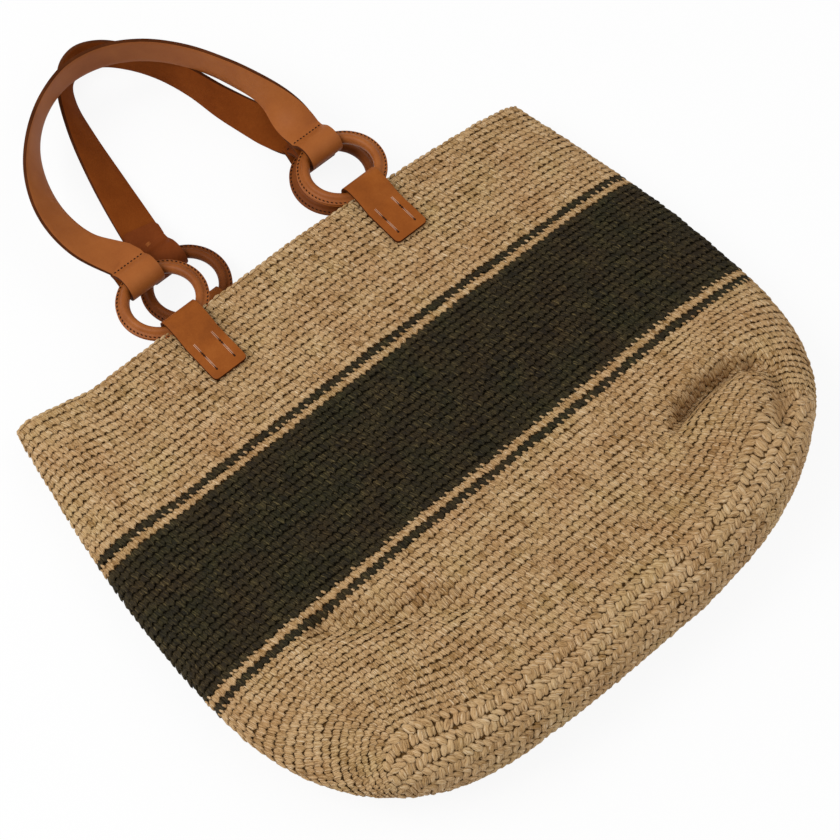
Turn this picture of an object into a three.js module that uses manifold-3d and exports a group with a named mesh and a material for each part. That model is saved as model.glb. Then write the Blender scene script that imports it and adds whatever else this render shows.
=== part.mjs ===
// Crocheted raffia tote with leather handles, lying on its back with both handles laid out beyond the mouth.
// Millimetres. +Z is up, away from the surface it lies on, +Y runs from the base to the handles, +X is to the right.
import * as THREE from "three";
import { mergeVertices } from "three/addons/utils/BufferGeometryUtils.js";
import Module from "manifold-3d";

// Crochet: rounds from the rim down to the starting chain, and the gauge they are worked at.
const roundHeight = 5.55;
const upperRounds = 18;
const stripeRounds = 1;
const spacerRounds = 1;
const bandRounds = 19;
const lowerRounds = 29;
const wall = 4;
const yarnGap = 0.3;

// Flat shape of the body: half widths across the mouth and the belly, and the rounded lower corners.
const mouthHalf = 214;
const bellyHalf = 236.5;
const bellyDrop = 190;
const cornerPower = 3;
const chainHalf = 151;
const rowSag = 4;
const baseLean = 0.062;
const baseLeanStart = 0.58;

// Loft of the body as it lies: gap between the walls at the mouth and near the base, and the round base edge.
const mouthLoft = 30;
const baseLoft = 64;
const baseRound = 36;
const edgePower = 6;
const backFlat = 1;
const rimLift = 8.1;
const rimLiftEnd = 70;
const rimSettled = 115;
const rimSettledLift = 2.6;

// The rim isn't quite straight: its left corner stands up, its right end droops, and the rear rim is a little ahead.
const leftCornerRise = 14;
const leftCornerRun = 62;
const rightDroop = 14;
const rightDroopRun = 192;
const rimShapeFade = 160;
const rearRimAhead = 5.5;

// Rings: a leather cover folded over a round core from inside, its two edges sewn together as an outer flange.
const ringOuter = 65;
const ringHole = 45.4;
const ringFlange = 3;
const ringHeight = 8.6;
const coverLeather = 1.2;
const coverSlit = 0.3;
const coreClearance = 0.15;
const ringSegments = 28;

// Tabs and straps: one leather width, looped round the rings.
const strapWidth = 27.5;
const tabLeather = 2.3;
const strapLeather = 2.8;
const tabLength = 51;
const tabCorner = 6;
const strapTail = 17;
const loopClearance = 0.3;
const seatGap = 0.5;
const plyGap = 0.4;

// Where the rings sit across the mouth.
const frontTabHalf = 80.5;
const frontTabCentre = 0.5;
const rearTabHalf = 68;
const rearTabCentre = 13.7;
const frontRimToRingAxis = 0.2;
const rearRimToRingAxis = 5;
const notchClearance = 3.4;

// Handle arches: how far each apex lies beyond the sewn necks, and the stations of its centre line. Each station is
// across (share of the ring spacing's half), rise (share of the drop), height of the lower edge, tilt in degrees.
const frontDrop = 160;
const rearDrop = 177;
const frontArch = [
  [-1.177, 0.2, 27.5, 25],
  [-1.205, 0.415, 26.5, 45],
  [-1.095, 0.63, 26.5, 63],
  [-0.875, 0.815, 28, 77],
  [-0.577, 0.95, 28.8, 85],
  [-0.235, 1.018, 28.8, 86],
  [0.113, 0.993, 28.8, 86],
  [0.433, 0.885, 28.8, 86],
  [0.694, 0.71, 28, 85],
  [0.878, 0.49, 27, 74],
  [0.98, 0.25, 27.5, 44],
];
const rearArch = [
  [-0.835, 0.38, 2.5, 27],
  [-0.678, 0.67, 0.7, 51],
  [-0.515, 0.867, 0.6, 71],
  [-0.332, 0.97, 0.6, 83],
  [-0.126, 0.995, 0.6, 85],
  [0.088, 0.96, 0.6, 85],
  [0.292, 0.878, 0.6, 85],
  [0.467, 0.75, 0.6, 79],
  [0.608, 0.58, 0.6, 66],
  [0.727, 0.388, 1.2, 45],
  [0.852, 0.19, 4, 22],
];

// Mesh steps.
const aroundSteps = 44;
const loopSteps = 10;
const archSteps = 26;
const cornerSteps = 4;

// Sizes that follow from the ones above.
const rounds = upperRounds + bandRounds + lowerRounds + 2 * (stripeRounds + spacerRounds);
const panelLength = rounds * roundHeight;
const ringRadius = ringOuter / 2;
const halfStrap = strapWidth / 2;
const ringNearEdge = Math.sqrt((ringHole / 2) ** 2 - halfStrap ** 2);
const axisRadius = (ringRadius + ringNearEdge) / 2;
const loopInner = (ringRadius - ringNearEdge) / 2 + loopClearance;
const tabLoop = loopInner + tabLeather / 2;
const strapLoop = loopInner + strapLeather / 2;
const strapLoopOuter = loopInner + strapLeather;

const X = new THREE.Vector3(1, 0, 0);
const Z = new THREE.Vector3(0, 0, 1);
const radians = THREE.MathUtils.degToRad;
const { clamp, lerp } = THREE.MathUtils;

const wasm = await Module();
wasm.setup();

// Leather and raffia finishes.
const raffia = new THREE.MeshStandardMaterial({ color: 0xc2a373, roughness: 0.85 });
const olive = new THREE.MeshStandardMaterial({ color: 0x3b3727, roughness: 0.85 });
const leather = new THREE.MeshStandardMaterial({ color: 0x9a5c2c, roughness: 0.55 });
const core = new THREE.MeshStandardMaterial({ color: 0xb9b2a4, roughness: 0.6 });

const bag = new THREE.Group();

function addMesh(parent, name, geometry, material) {
  geometry.computeVertexNormals();
  const mesh = new THREE.Mesh(geometry, material);
  mesh.name = name;
  parent.add(mesh);
  return mesh;
}

// A closed skin through rings of equal count, each ring joined to the next, with end caps as fans where asked.
function skin(rings, { closed = false, caps = false } = {}) {
  const count = rings[0].length;
  const positions = rings.flat().flatMap((p) => [p.x, p.y, p.z]);
  const index = [];
  const spans = closed ? rings.length : rings.length - 1;
  for (let i = 0; i < spans; i++) {
    const a = i * count;
    const b = ((i + 1) % rings.length) * count;
    for (let j = 0; j < count; j++) {
      const k = (j + 1) % count;
      index.push(a + j, b + j, b + k, a + j, b + k, a + k);
    }
  }
  if (caps) {
    const last = (rings.length - 1) * count;
    for (let j = 1; j < count - 1; j++) {
      index.push(0, j, j + 1);
      index.push(last, last + j + 1, last + j);
    }
  }
  const geometry = new THREE.BufferGeometry();
  geometry.setAttribute("position", new THREE.Float32BufferAttribute(positions, 3));
  geometry.setIndex(index);
  return mergeVertices(geometry, 1e-4);
}

function toSolid(geometry) {
  const merged = geometry.clone();
  merged.deleteAttribute("normal");
  merged.deleteAttribute("uv");
  const { attributes, index } = mergeVertices(merged, 1e-4);
  const vertProperties = attributes.position.array;
  return new wasm.Manifold(new wasm.Mesh({ numProp: 3, vertProperties, triVerts: new Uint32Array(index.array) }));
}

function fromSolid(solid) {
  const { vertProperties, triVerts } = solid.getMesh();
  const geometry = new THREE.BufferGeometry();
  geometry.setAttribute("position", new THREE.BufferAttribute(vertProperties, 3));
  geometry.setIndex(new THREE.BufferAttribute(triVerts, 1));
  return geometry;
}

// Body surface.
// The side edge of the flat shape, from the rim's corner down to the end of the starting chain.
const baseArc = (Math.PI / 2) * Math.hypot(baseRound, baseLoft / 2) / Math.SQRT2;
const flatRun = panelLength - baseArc;
const bottomY = -(flatRun + baseRound);
const cornerDepth = -bottomY - bellyDrop;

function sideEdge() {
  const points = [];
  for (let i = 0; i <= 6; i++) {
    const t = i / 6;
    const half = lerp(mouthHalf, bellyHalf, Math.sin((t * Math.PI) / 2));
    points.push(new THREE.Vector2(half, -bellyDrop * t));
  }
  const cornerEnd = Math.acos((chainHalf / bellyHalf) ** (cornerPower / 2));
  for (let i = 1; i <= 10; i++) {
    const angle = (cornerEnd * i) / 10;
    const across = bellyHalf * Math.cos(angle) ** (2 / cornerPower);
    points.push(new THREE.Vector2(across, -bellyDrop - cornerDepth * Math.sin(angle) ** (2 / cornerPower)));
  }
  return new THREE.SplineCurve(points);
}
const edge = sideEdge();

// Height of the rear wall above the surface, and the gap between the walls, at a distance down from the rim.
function underside(down) {
  if (down < rimLiftEnd) return lerp(rimLift, rimSettledLift, down / rimLiftEnd);
  return lerp(rimSettledLift, 0, clamp((down - rimLiftEnd) / (rimSettled - rimLiftEnd), 0, 1));
}
const loft = (down) => lerp(mouthLoft, baseLoft, clamp(down / flatRun, 0, 1));

// How far the rim strays along Y at a place across the mouth.
function rimShape(x) {
  const rise = clamp((-x - mouthHalf + leftCornerRun) / leftCornerRun, 0, 1);
  const droop = clamp((x - mouthHalf + rightDroopRun) / rightDroopRun, 0, 1);
  return leftCornerRise * rise * rise * (3 - 2 * rise) - rightDroop * droop ** 1.1;
}

// One round of the body as points: the outer face, or the inner face when inset is the wall's thickness.
function roundAt(down, inset) {
  const share = clamp(down / panelLength, 0, 1);
  const turn = clamp((down - flatRun) / baseArc, 0, 1) * (Math.PI / 2);
  const end = edge.getPointAt(share);
  const middleY = -Math.min(down, flatRun) - (baseRound - inset) * Math.sin(turn);
  const endX = end.x - inset;
  const endY = end.y + inset * share ** 4;
  const low = underside(down);
  const half = (loft(down) / 2 - inset) * Math.cos(turn);
  const centre = low + loft(down) / 2;
  const fade = clamp(1 - down / rimShapeFade, 0, 1);
  const lean = baseLean * clamp((share - baseLeanStart) / (1 - baseLeanStart), 0, 1) ** 1.5;
  const points = [];
  for (let j = 0; j < aroundSteps; j++) {
    const angle = (2 * Math.PI * j) / aroundSteps;
    const across = Math.abs(2 * j - aroundSteps) === aroundSteps ? 1 : Math.cos(angle);
    const x = endX * across;
    const bulge = half * Math.sqrt(Math.max(0, 1 - Math.abs(across) ** edgePower));
    const front = 2 * j < aroundSteps;
    let z = front ? centre + bulge : centre - bulge - backFlat * (bulge / (loft(down) / 2));
    if (!front) z = Math.max(z, low + inset);
    let y = middleY + (endY - middleY) * Math.abs(across) ** rowSag + fade * rimShape(x);
    y += lean * x;
    if (!front) y += rearRimAhead * fade * (1 - Math.abs(across) ** rowSag);
    points.push(new THREE.Vector3(x, y, z));
  }
  return points;
}

// Rounds at even steps between two distances from the rim.
function roundsBetween(from, to, steps, inset) {
  return Array.from({ length: steps + 1 }, (_, i) => roundAt(lerp(from, to, i / steps), inset));
}

function yarnBand(from, to, steps) {
  const outer = roundsBetween(from + yarnGap / 2, to - yarnGap / 2, steps, 0);
  const inner = roundsBetween(from + yarnGap / 2, to - yarnGap / 2, steps, wall);
  return skin([...outer.reverse(), ...inner], { closed: true });
}

// The lower wall runs on round the base to the starting chain, where front and rear meet.
function lowerBody(from) {
  const walls = (inset) => [
    ...roundsBetween(from + yarnGap / 2, flatRun, 4, inset),
    ...roundsBetween(flatRun, panelLength, 5, inset).slice(1),
  ];
  return skin([...walls(0).reverse(), ...walls(wall)]);
}

// Handle positions, from the walls at the rim.
const handles = [
  { name: "front", centre: frontTabCentre, half: frontTabHalf, face: 1, rim: 0, beyond: frontRimToRingAxis,
    drop: frontDrop, arch: frontArch },
  { name: "rear", centre: rearTabCentre, half: rearTabHalf, face: -1, rim: rearRimAhead, beyond: rearRimToRingAxis,
    drop: rearDrop, arch: rearArch },
];
// The outer face of a handle's wall at a distance down from the rim, as the mean of its two tabs' places.
function wallPlace(h, down) {
  const fade = clamp(1 - down / rimShapeFade, 0, 1);
  const stray = (rimShape(h.centre - h.half) + rimShape(h.centre + h.half)) / 2;
  return { y: -down + fade * (stray + h.rim), z: underside(down) + (h.face > 0 ? loft(down) : 0) };
}
for (const h of handles) {
  const top = wallPlace(h, 0);
  const foot = wallPlace(h, tabLength);
  h.slope = Math.atan2(foot.z - top.z, top.y - foot.y);
  h.axisY = h.rim + h.beyond;
  h.axisZ = top.z - (h.axisY - top.y) * Math.tan(h.slope) - (h.face * wall) / 2;
}

// The far ends of the rings: the rear straps' loops lie on the surface, the front ones on the rear ones.
const [front, rear] = handles;
rear.endZ = strapLoopOuter + seatGap;
front.endZ = 2 * strapLoopOuter + strapLoopOuter + 2 * seatGap;
for (const h of handles) {
  h.tilt = Math.asin((h.endZ - h.axisZ) / (2 * axisRadius));
  h.endY = h.axisY + 2 * axisRadius * Math.cos(h.tilt);
}

// Ring section as half profiles in (radius, height), revolved about the ring's own axis.
function ringCover() {
  const flangeHalf = coverSlit / 2 + coverLeather;
  const flangeStart = ringRadius - ringFlange;
  const domeMiddle = (ringHole / 2 + flangeStart) / 2;
  const domeHalf = flangeStart - domeMiddle;
  const high = ringHeight / 2;
  const dome = (from, to, across, tall) =>
    Array.from({ length: 5 }, (_, i) => {
      const angle = radians(lerp(from, to, i / 4));
      return [domeMiddle + across * Math.cos(angle), tall * Math.sin(angle)];
    });
  const lip = coverSlit / 2;
  const profile = [
    [ringRadius, -lip],
    [ringRadius, -flangeHalf],
    [flangeStart + 0.2, -flangeHalf],
    ...dome(-40, -180, domeHalf, high),
    ...dome(180, 40, domeHalf, high).slice(1),
    [flangeStart + 0.2, flangeHalf],
    [ringRadius, flangeHalf],
    [ringRadius, lip],
    [domeMiddle + domeHalf - coverLeather, lip],
    ...dome(40, 180, domeHalf - coverLeather, high - coverLeather),
    ...dome(180, 320, domeHalf - coverLeather, high - coverLeather).slice(1),
    [domeMiddle + domeHalf - coverLeather, -lip],
    [ringRadius, -lip],
  ].map(([r, z]) => new THREE.Vector2(r, z));
  return new THREE.LatheGeometry(profile.reverse(), ringSegments).rotateX(Math.PI / 2);
}

function ringCore() {
  const domeMiddle = (ringHole / 2 + ringRadius - ringFlange) / 2;
  const domeHalf = ringRadius - ringFlange - domeMiddle;
  const across = domeHalf - coverLeather - coreClearance;
  const tall = ringHeight / 2 - coverLeather - coreClearance;
  const fit = Math.cos(Math.PI / 8) ** 2;
  const profile = Array.from({ length: 9 }, (_, i) => {
    const angle = (2 * Math.PI * i) / 8;
    return new THREE.Vector2(domeMiddle + fit * across * Math.cos(angle), fit * tall * Math.sin(angle));
  });
  return new THREE.LatheGeometry(profile, ringSegments).rotateX(Math.PI / 2);
}

// A leather strip through stations of place, direction and half width.
function strip(stations, thickness) {
  const rings = stations.map(({ at, side, normal, half }) =>
    [[1, 1], [1, -1], [-1, -1], [-1, 1]].map(([s, n]) =>
      at.clone().addScaledVector(side, s * half).addScaledVector(normal, (n * thickness) / 2)),
  );
  return skin(rings, { caps: true });
}

// Half width of a strip near a rounded end, at a distance from that end.
function roundedHalf(distance) {
  const inside = clamp(1 - distance / tabCorner, 0, 1);
  return halfStrap - tabCorner * (1 - Math.sqrt(1 - inside * inside)) * 0.9;
}

// The path of a loop in its own plane: along is away from the loop on the leaves' side, up is the leaves' spacing.
// It runs along one leaf to the loop, round it and back along the other leaf.
function loopPath(radius, leaf, neck, firstEnd, secondEnd) {
  const shoulder = [
    [neck, leaf],
    [lerp(neck, 0, 0.3), lerp(leaf, radius, 0.42)],
    [lerp(neck, 0, 0.62), lerp(leaf, radius, 0.84)],
  ];
  const path = [[firstEnd, -leaf]];
  shoulder.forEach(([along, up]) => path.push([along, -up]));
  for (let i = 0; i <= loopSteps; i++) {
    const angle = -Math.PI / 2 - (Math.PI * i) / loopSteps;
    path.push([radius * Math.cos(angle), radius * Math.sin(angle)]);
  }
  shoulder.reverse().forEach(([along, up]) => path.push([along, up]));
  path.push([secondEnd, leaf]);
  return path.map(([along, up]) => new THREE.Vector2(along, up));
}

// Unit direction of a path of 2D points at one of them.
function heading(path, i) {
  const before = path[Math.max(i - 1, 0)];
  const after = path[Math.min(i + 1, path.length - 1)];
  return after.clone().sub(before).normalize();
}

// A tab sits on both faces of its wall, folded over the ring beyond the rim. Its own frame has its origin on the
// ring's hinge axis, with -Y down the wall and +Z out of the wall's outer face on the front of the bag.
function tab(h) {
  const leaf = wall / 2 + seatGap + tabLeather / 2;
  const neck = 20;
  const bare = loopPath(tabLoop, leaf, neck, tabLength - tabCorner, tabLength - tabCorner);
  const ends = Array.from({ length: cornerSteps }, (_, i) => tabCorner * Math.sin((i * Math.PI) / 2 / cornerSteps));
  const first = ends.map((d) => new THREE.Vector2(tabLength - tabCorner + d, -leaf)).slice(1).reverse();
  const last = ends.map((d) => new THREE.Vector2(tabLength - tabCorner + d, leaf)).slice(1);
  const path = [...first, ...bare, ...last];
  const stations = path.map((p, i) => {
    const along = heading(path, i);
    return {
      at: new THREE.Vector3(0, -p.x, p.y * h.face),
      side: X,
      normal: new THREE.Vector3(0, along.y * h.face, along.x).normalize(),
      half: roundedHalf(tabLength - p.x),
    };
  });
  const flip = h.face > 0 ? stations : stations.reverse();
  return strip(flip.map((s) => ({ ...s, normal: s.normal.clone().multiplyScalar(h.face) })), tabLeather);
}

// A strap: tail, loop round the left ring, the arch, loop round the right ring, tail.
function strap(h) {
  const leaf = (strapLeather + plyGap) / 2;
  const neck = 12;
  const up = h.face;
  const plane = loopPath(strapLoop, leaf, neck, strapTail, strapTail);
  const placed = (p, across) => {
    const outward = new THREE.Vector3(0, Math.cos(h.tilt), Math.sin(h.tilt));
    const normal = new THREE.Vector3(0, -Math.sin(h.tilt), Math.cos(h.tilt));
    return new THREE.Vector3(across, h.endY, h.endZ).addScaledVector(outward, p.x).addScaledVector(normal, up * p.y);
  };
  const left = plane.map((p) => placed(p, h.centre - h.half));
  const right = plane.map((p) => placed(p, h.centre + h.half)).reverse();
  const neckY = h.endY + strapTail * Math.cos(h.tilt);
  const middle = h.arch.map(([across, rise, low, tilt]) => ({
    at: new THREE.Vector3(
      h.centre + across * h.half,
      neckY + rise * (h.drop - strapTail),
      low + halfStrap * Math.sin(radians(tilt)) + (strapLeather / 2) * Math.cos(radians(tilt)),
    ),
    tilt: radians(tilt),
  }));
  const line = new THREE.CatmullRomCurve3([left.at(-1), ...middle.map((m) => m.at), right[0]], false, "centripetal");
  const tilts = new THREE.SplineCurve(
    [0, ...middle.map((m) => m.tilt), 0].map((t, i) => new THREE.Vector2(i, t)),
  );
  const arch = [];
  for (let i = 1; i < archSteps; i++) {
    const t = line.getUtoTmapping(i / archSteps);
    const along = line.getTangent(t);
    const outward = Z.clone().cross(along).normalize();
    const raised = along.clone().cross(outward);
    const tilt = Math.max(0, tilts.getPoint(t).y);
    const side = outward.multiplyScalar(Math.cos(tilt)).addScaledVector(raised, Math.sin(tilt));
    arch.push({ at: line.getPoint(t), side, normal: along.cross(side), half: halfStrap });
  }
  const loopStations = (points, side) =>
    points.map((at, i) => {
      const along = points[Math.min(i + 1, points.length - 1)].clone().sub(points[Math.max(i - 1, 0)]).normalize();
      return { at, side, normal: along.cross(side), half: halfStrap };
    });
  const outwardLeft = X.clone().negate();
  return strip([...loopStations(left, outwardLeft), ...arch, ...loopStations(right, X)], strapLeather);
}

// Body, in yarn order from the rim down.
const yarns = [
  ["upper_raffia_wall", upperRounds, raffia, 3],
  ["upper_olive_stripe", stripeRounds, olive, 1],
  ["upper_raffia_stripe", spacerRounds, raffia, 1],
  ["olive_band", bandRounds, olive, 3],
  ["lower_raffia_stripe", spacerRounds, raffia, 1],
  ["lower_olive_stripe", stripeRounds, olive, 1],
];
let down = 0;
for (const [name, count, material, steps] of yarns) {
  const to = down + count * roundHeight;
  let geometry = yarnBand(down, to, steps);
  if (down === 0) {
    let solid = toSolid(geometry);
    for (const h of handles) {
      for (const side of [-1, 1]) {
        const seat = new THREE.CylinderGeometry(ringRadius + notchClearance, ringRadius + notchClearance,
          mouthLoft * 0.6, 2 * ringSegments).rotateX(Math.PI / 2);
        seat.translate(h.centre + side * h.half, h.axisY + axisRadius * Math.cos(h.tilt), h.axisZ);
        solid = solid.subtract(toSolid(seat));
      }
    }
    geometry = fromSolid(solid);
  }
  addMesh(bag, name, geometry, material);
  down = to;
}
addMesh(bag, "lower_raffia_wall_and_base", lowerBody(down), raffia);

// Handles: tabs on the walls, rings hinged in the tabs, straps hinged on the rings.
for (const h of handles) {
  for (const [sideName, side] of [["left", -1], ["right", 1]]) {
    const label = `${h.name}_${sideName}`;
    const across = h.centre + side * h.half;
    const tabGroup = new THREE.Group();
    tabGroup.position.set(across, h.axisY, h.axisZ);
    tabGroup.rotation.x = -h.slope;
    addMesh(tabGroup, `${label}_tab`, tab(h), leather);
    bag.add(tabGroup);

    const ringGroup = new THREE.Group();
    ringGroup.name = `${label}_ring_hinge`;
    ringGroup.position.set(across, h.axisY, h.axisZ);
    ringGroup.rotation.x = h.tilt;
    addMesh(ringGroup, `${label}_ring_cover`, ringCover().translate(0, axisRadius, 0), leather);
    addMesh(ringGroup, `${label}_ring_core`, ringCore().translate(0, axisRadius, 0), core);
    bag.add(ringGroup);
  }
  addMesh(bag, `${h.name}_strap`, strap(h), leather);
}

// The part's own frame: the middle of its footprint, on the surface it lies on.
const part = new THREE.Group();
part.add(bag);
part.updateMatrixWorld(true);
const bounds = new THREE.Box3().setFromObject(bag, true);
const middle = bounds.getCenter(new THREE.Vector3());
bag.position.set(-middle.x, -middle.y, -bounds.min.z);

export default part;
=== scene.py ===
# %% [markdown]
# # A crocheted raffia tote with leather handles
# The bag lies on its back with both handles laid out beyond the mouth. It is worked in the round from
# raffia, with one olive band and two thin olive lines, and its handles hang from leather-covered rings.
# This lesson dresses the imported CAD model: every soft solid is replaced by a piece with real stitches,
# folds, seams and thread.

import math

import bpy
import numpy as np
from mathutils import Matrix, Vector


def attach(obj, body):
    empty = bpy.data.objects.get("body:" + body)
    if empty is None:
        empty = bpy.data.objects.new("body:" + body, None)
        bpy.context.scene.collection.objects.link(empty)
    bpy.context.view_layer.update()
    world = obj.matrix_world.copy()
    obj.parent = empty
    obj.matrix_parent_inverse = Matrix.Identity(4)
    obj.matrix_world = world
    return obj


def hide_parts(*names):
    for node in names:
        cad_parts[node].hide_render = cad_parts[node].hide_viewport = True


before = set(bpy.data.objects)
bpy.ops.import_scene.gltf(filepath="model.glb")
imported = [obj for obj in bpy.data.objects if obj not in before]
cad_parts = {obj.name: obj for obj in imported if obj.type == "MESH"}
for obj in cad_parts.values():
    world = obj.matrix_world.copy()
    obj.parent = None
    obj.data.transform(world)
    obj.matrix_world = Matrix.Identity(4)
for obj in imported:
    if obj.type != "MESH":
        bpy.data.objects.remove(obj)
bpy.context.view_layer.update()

# %% [markdown]
# ## Sizes
# The crochet is counted in rounds from the rim down, so the rounds give the height of every stripe. All
# sizes here are in millimetres, as a maker would note them, and become metres only when a mesh is made.

# %% Sizes of the bag in millimetres
MM = 0.001
round_height, stitch_width, wall = 5.55, 5.15, 4.0
yarn_rows = [
    ("upper_raffia_wall", "natural_raffia", 18),
    ("upper_olive_stripe", "olive_raffia", 1),
    ("upper_raffia_stripe", "natural_raffia", 1),
    ("olive_band", "olive_raffia", 19),
    ("lower_raffia_stripe", "natural_raffia", 1),
    ("lower_olive_stripe", "olive_raffia", 1),
    ("lower_raffia_wall_and_base", "natural_raffia", 29),
]
round_count = sum(count for node, yarn, count in yarn_rows)
panel_length = round_count * round_height
mouth_half, belly_half, belly_drop, chain_half = 214.0, 236.5, 190.0, 151.0
mouth_loft, base_loft, base_round = 30.0, 64.0, 36.0
base_arc = math.pi / 2 * math.hypot(base_round, base_loft / 2) / math.sqrt(2)
flat_run = panel_length - base_arc
corner_depth, corner_power = flat_run + base_round - belly_drop, 2 / 3
print(f"panel {panel_length:.1f} mm from rim to starting chain, base turns over {base_arc:.1f} mm")


# %% Helpers for lines of points
def run_along(points):
    """How far along its line each point lies."""
    return np.concatenate([[0], np.cumsum(np.linalg.norm(np.diff(points, axis=0), axis=1))])


def unit(vectors):
    """The same directions with a length of 1."""
    return vectors / np.linalg.norm(vectors, axis=-1, keepdims=True)


def sample(points, run, at):
    """Points at these distances along a line."""
    return np.stack([np.interp(at, run, column) for column in points.T], axis=1)


# %% [markdown]
# ## The lie of the bag
# A crocheted bag has no flat panels: the walls run from a thin mouth to a fuller base, round off at the
# bottom corners and sag a little. It could be sculpted, but a formula keeps it on the CAD solid. The side
# edge is a curve from the rim's corner to the end of the starting chain, and every round is an oval
# between its two side points.

# %% The side edge of the bag
drop = np.linspace(0, 1, 160)
corner_turn = np.linspace(0, math.acos((chain_half / belly_half) ** (1 / corner_power)), 240)[1:]
wall_x = mouth_half + (belly_half - mouth_half) * np.sin(drop * math.pi / 2)
corner_x = belly_half * np.cos(corner_turn) ** corner_power
corner_y = -belly_drop - corner_depth * np.sin(corner_turn) ** corner_power
side_x = np.concatenate([wall_x, corner_x])
side_y = np.concatenate([-belly_drop * drop, corner_y])
side_run = run_along(np.stack([side_x, side_y], axis=1))
side_share = side_run / side_run[-1]
print("side edge ends at", round(side_x[-1], 1), round(side_y[-1], 1))

# %% [markdown]
# ## Dents and folds
# The front has slumped into one deep fold at the right corner and one shallow valley at the left. Each is
# a line of marks with a depth and a width. The fold also pulls the rows towards itself, as a real fold
# takes up cloth, so the stitches run into it and don't stretch over it.

# %% Dents and soft valleys of the front
corner_fold = [(108, -213), (120, -208), (141, -206), (163, -207)]
corner_fold += [(178, -213), (183, -227), (174, -243), (160, -258)]
left_valley = [(-152, -166), (-118, -187), (-78, -210)]
mounds = [(12.0, 148, 28, -232, 20), (3.5, 136, 34, -188, 13)]
creases = [
    (-10.0, corner_fold[:4], 6.0),
    (-10.0, corner_fold[1:5], 6.0),
    (-9.0, corner_fold[4:], 6.5),
    (-11.0, left_valley, 10.0),
]
ripples = [(0.9, 31, 47, 0.0), (0.8, 53, -29, 1.7), (0.4, 17, 90, 0.0)]
ripple_fade, fold_pull, fold_reach = 60.0, 0.5, 13.0


def from_line(x, y, line):
    """The way from the nearest place on a line of marks to each point."""
    best = np.full(np.shape(x), 1e9)
    dx, dy = np.zeros_like(best), np.zeros_like(best)
    for (ax, ay), (bx, by) in zip(line, line[1:]):
        along = ((x - ax) * (bx - ax) + (y - ay) * (by - ay)) / ((bx - ax) ** 2 + (by - ay) ** 2)
        along = np.clip(along, 0, 1)
        px, py = x - ax - along * (bx - ax), y - ay - along * (by - ay)
        nearer = np.hypot(px, py) < best
        best = np.where(nearer, np.hypot(px, py), best)
        dx, dy = np.where(nearer, px, dx), np.where(nearer, py, dy)
    return dx, dy


def lie_of_front(x, y):
    """How far the front wall stands above or below its plain form, in millimetres."""
    lie = sum(height * np.sin(x / a + y / b + start) for height, a, b, start in ripples)
    lie = lie * np.clip(-y / ripple_fade, 0, 1)
    for height, middle_x, half_x, middle_y, half_y in mounds:
        lie = lie + height * np.exp(-(((x - middle_x) / half_x) ** 2) - ((y - middle_y) / half_y) ** 2)
    for depth, line, width in creases:
        lie = lie + depth * np.exp(-((np.hypot(*from_line(x, y, line)) / width) ** 2))
    return lie


def settle(points, share):
    """Pull the fabric into the fold and let it lie in its dents, by a share from 0 to 1."""
    dx, dy = from_line(points[:, 0], points[:, 1], corner_fold[1:])
    pull = fold_pull * np.exp(-((np.hypot(dx, dy) / fold_reach) ** 2)) * share
    x, y = points[:, 0] - pull * dx, points[:, 1] - pull * dy
    return np.stack([x, y, points[:, 2] + lie_of_front(x, y) * share], axis=1)


# %% One round of the bag
rim_y, rim_fade, rear_rise = 67.5825, 160.0, 5.5
rim_rise, rise_run = 14.0, 62.0
rim_droop, droop_run, droop_power = 14.0, 192.0, 1.1
base_lean, lean_start = 0.062, 0.58
row_sag, sag_start = 10.0, 150.0
ease_power, end_power, loft_power = 1.5, 4, 6
sag_across = [-90, 40, 150, 215], [0, 1, 1, 0.8]
rear_lift = [0, 70, 115], [8.1, 2.6, 0]


def base_turn(down):
    """How far the wall has turned under at this distance down, up to a quarter turn."""
    return np.clip((down - flat_run) / base_arc, 0, 1) * math.pi / 2


def bag_round(down, angle):
    """Points of the round this far down, at angles from the right side edge over the front."""
    share = np.clip(down / panel_length, 0, 1)
    turn = base_turn(down)
    fade = np.clip(1 - down / rim_fade, 0, 1)
    across = np.cos(angle)
    front = angle <= math.pi
    x = np.interp(share, side_share, side_x) * across
    end_y = np.interp(share, side_share, side_y) - min(down, 0)
    middle_y = -min(down, flat_run) - base_round * math.sin(turn)
    rise = np.clip((-x - mouth_half + rise_run) / rise_run, 0, 1)
    droop = np.clip((x - mouth_half + droop_run) / droop_run, 0, 1)
    rim_shape = rim_rise * rise * rise * (3 - 2 * rise) - rim_droop * droop**droop_power
    lean = base_lean * max((share - lean_start) / (1 - lean_start), 0) ** ease_power
    sag = row_sag * np.clip((down - sag_start) / (panel_length - sag_start), 0, 1) ** ease_power
    ends = np.abs(across) ** end_power
    y = middle_y + (end_y - middle_y) * ends + fade * rim_shape + lean * x
    y = y - sag * np.interp(x, *sag_across) + rim_y
    y = np.where(front, y, y + rear_rise * fade * (1 - ends))
    low = np.interp(down, *rear_lift)
    half_loft = np.interp(down, [0, flat_run], [mouth_loft, base_loft]) / 2
    bulge = half_loft * math.cos(turn) * np.sqrt(np.maximum(0, 1 - np.abs(across) ** loft_power))
    rear_z = np.maximum(low + half_loft - bulge - bulge / half_loft, low)
    return np.stack([x, y, np.where(front, low + half_loft + bulge, rear_z)], axis=1)


print("rim at the middle of the front:", bag_round(0, np.array([math.pi / 2]))[0].round(2))

# %% [markdown]
# ## A map of the wall
# Stitches are placed by two numbers: how far down from the rim, and which share of the round. The map
# samples the wall at even steps of both, measured along the fabric, so that stitches keep their width
# round the side edges.

# %% Sample the wall
levels_per_round = rim_level = 3
level_step = round_height / levels_per_round
levels = np.arange(-rim_level, round_count * levels_per_round + 1) * level_step
half_columns, half_samples, edge_keep = 360, 1441, 24.0
from_edge = np.minimum(np.arange(half_columns + 1), np.arange(half_columns, -1, -1)) / half_columns


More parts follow.
